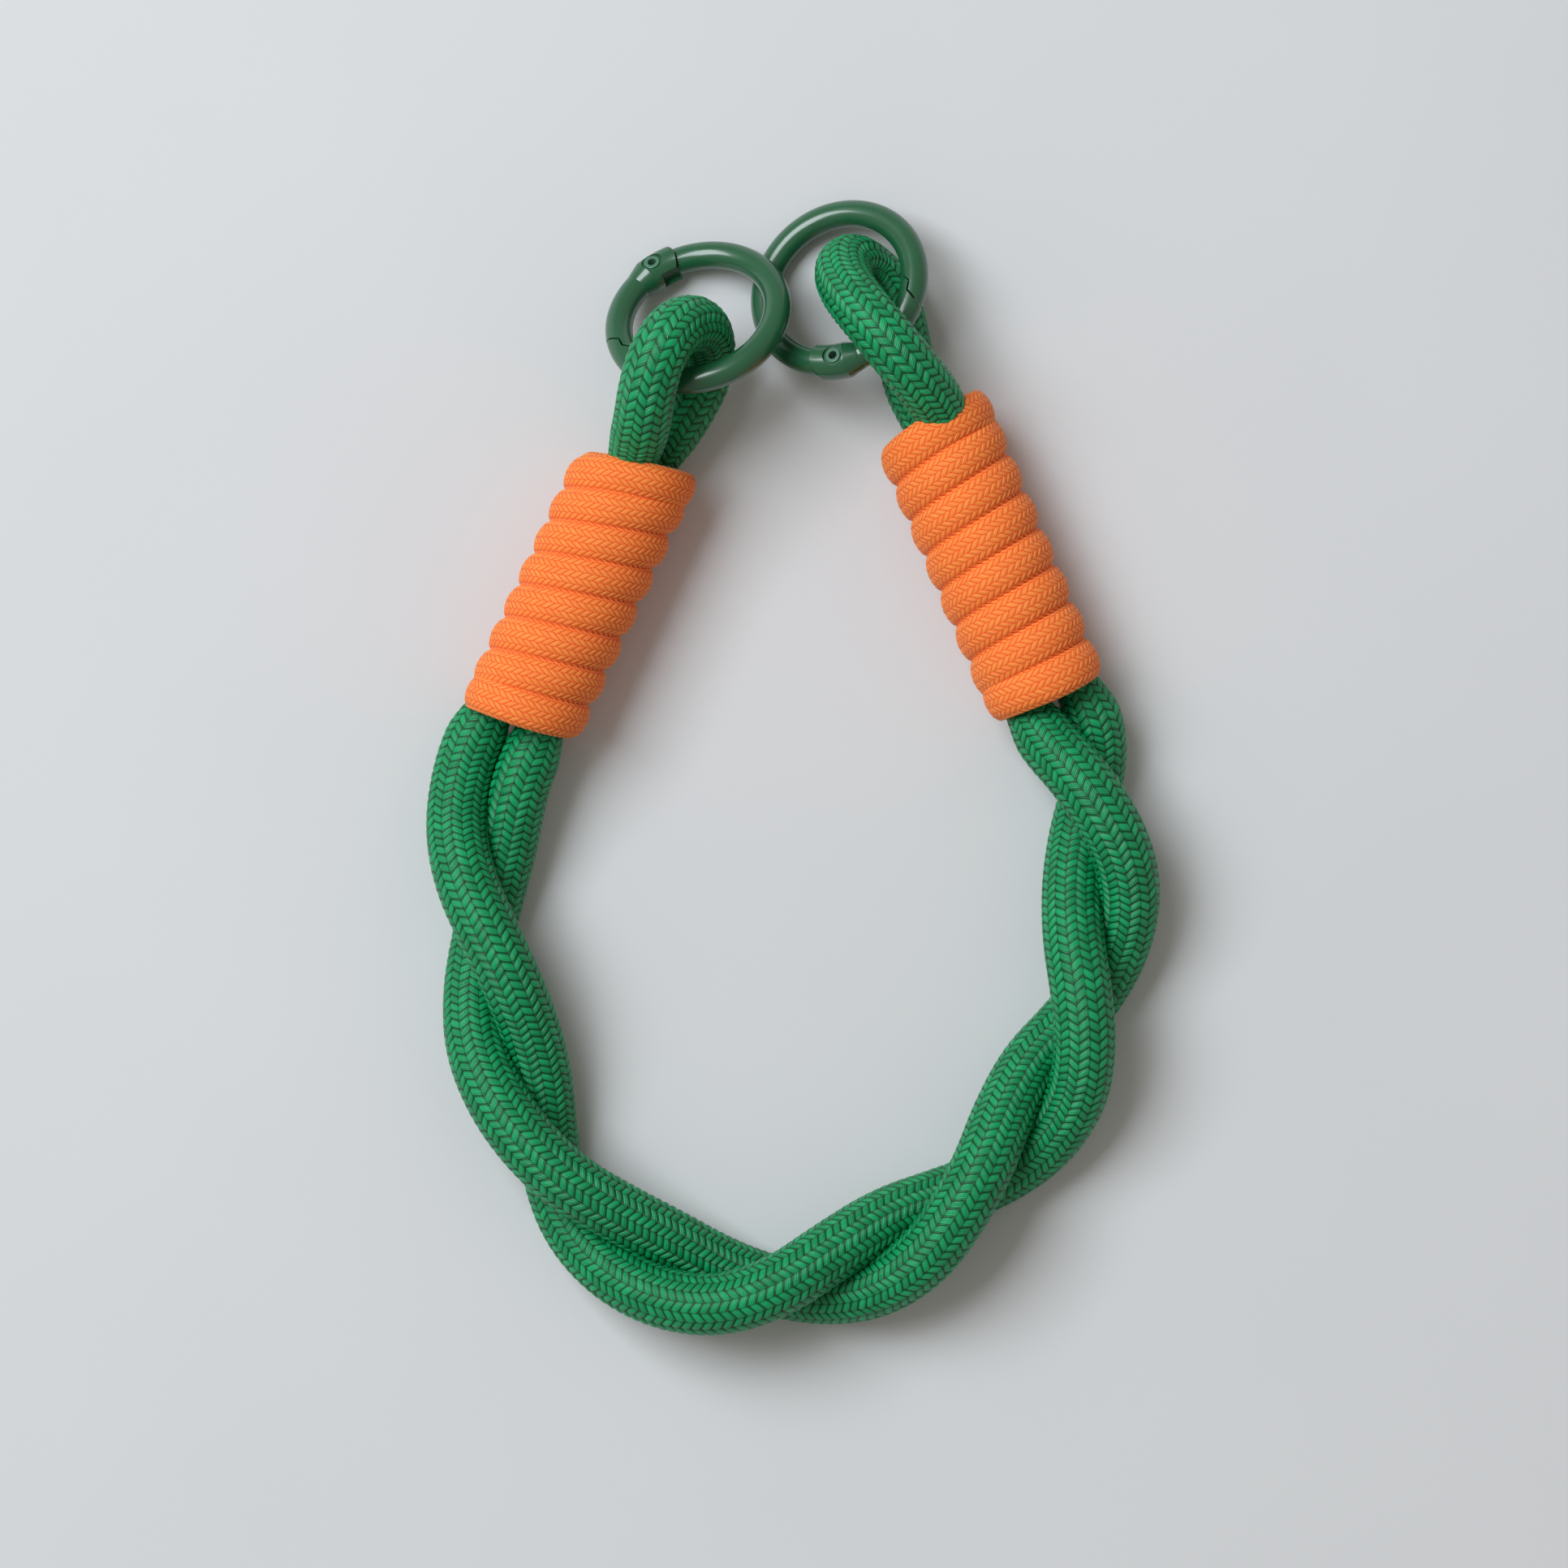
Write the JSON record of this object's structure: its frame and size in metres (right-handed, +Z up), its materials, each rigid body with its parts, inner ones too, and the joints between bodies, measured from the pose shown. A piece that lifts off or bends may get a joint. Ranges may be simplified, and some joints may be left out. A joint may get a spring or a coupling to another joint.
{
  "type": "wrist strap",
  "caption": "Short wrist strap of thick rope, doubled and twisted, with corded whippings and a spring-gate ring in a rope eye at each end.",
  "frame": {"origin": "on the ground under the middle of the whole strap's box", "axes": "+Y along the strap's length towards the rings, +X across it, +Z up from the surface that it lies on"},
  "size_m": [0.1172, 0.1816, 0.03],
  "materials": {
    "rope_cover": "braided polyester with a soft sheen",
    "rope_core": "loose white filler yarn",
    "whipping_cord": "matt braided cord",
    "ring_enamel": "gloss enamel on cast zinc",
    "rivet_enamel": "gloss enamel on a hollow steel rivet",
    "spring_steel": "bright spring wire"
  },
  "bodies": {
    "strap": {"strand_a_cover": "rope_cover", "strand_a_core": "rope_core", "strand_b_cover": "rope_cover", "strand_b_core": "rope_core", "left_eye_cover": "rope_cover", "left_eye_core": "rope_core", "right_eye_cover": "rope_cover", "right_eye_core": "rope_core", "left_squeezed_run_a": "rope_cover", "left_squeezed_run_b": "rope_cover", "right_squeezed_run_a": "rope_cover", "right_squeezed_run_b": "rope_cover", "left_whipping": "whipping_cord", "right_whipping": "whipping_cord"},
    "left_ring": {"left_ring_body": "ring_enamel"},
    "left_gate": {"left_ring_gate": "ring_enamel", "left_gate_rivet": "rivet_enamel", "left_gate_spring": "spring_steel"},
    "right_ring": {"right_ring_body": "ring_enamel"},
    "right_gate": {"right_ring_gate": "ring_enamel", "right_gate_rivet": "rivet_enamel", "right_gate_spring": "spring_steel"}
  },
  "joints": [
    {"name": "left_ring_turn", "type": "hinge", "parent": "strap", "child": "left_ring", "pos_m": [-0.01515, 0.07144, 0.0112], "axis": [-0.22, 0.5823, 0.7826], "range_deg": [-150, 0]},
    {"name": "left_gate_open", "type": "hinge", "parent": "left_ring", "child": "left_gate", "pos_m": [-0.02209, 0.07924, 0.00345], "axis": [-0.22, 0.5823, 0.7826], "range_deg": [0, 18], "stiffness_Nm_per_rad": 0.004, "springref_deg": -20.05},
    {"name": "right_ring_turn", "type": "hinge", "parent": "strap", "child": "right_ring", "pos_m": [0.0074, 0.07634, 0.0089], "axis": [-0.3881, 0.3386, 0.8572], "range_deg": [-150, 0]},
    {"name": "right_gate_open", "type": "hinge", "parent": "right_ring", "child": "right_gate", "pos_m": [0.0073, 0.06423, 0.01364], "axis": [-0.3881, 0.3386, 0.8572], "range_deg": [0, 18], "stiffness_Nm_per_rad": 0.004, "springref_deg": -20.05}
  ]
}
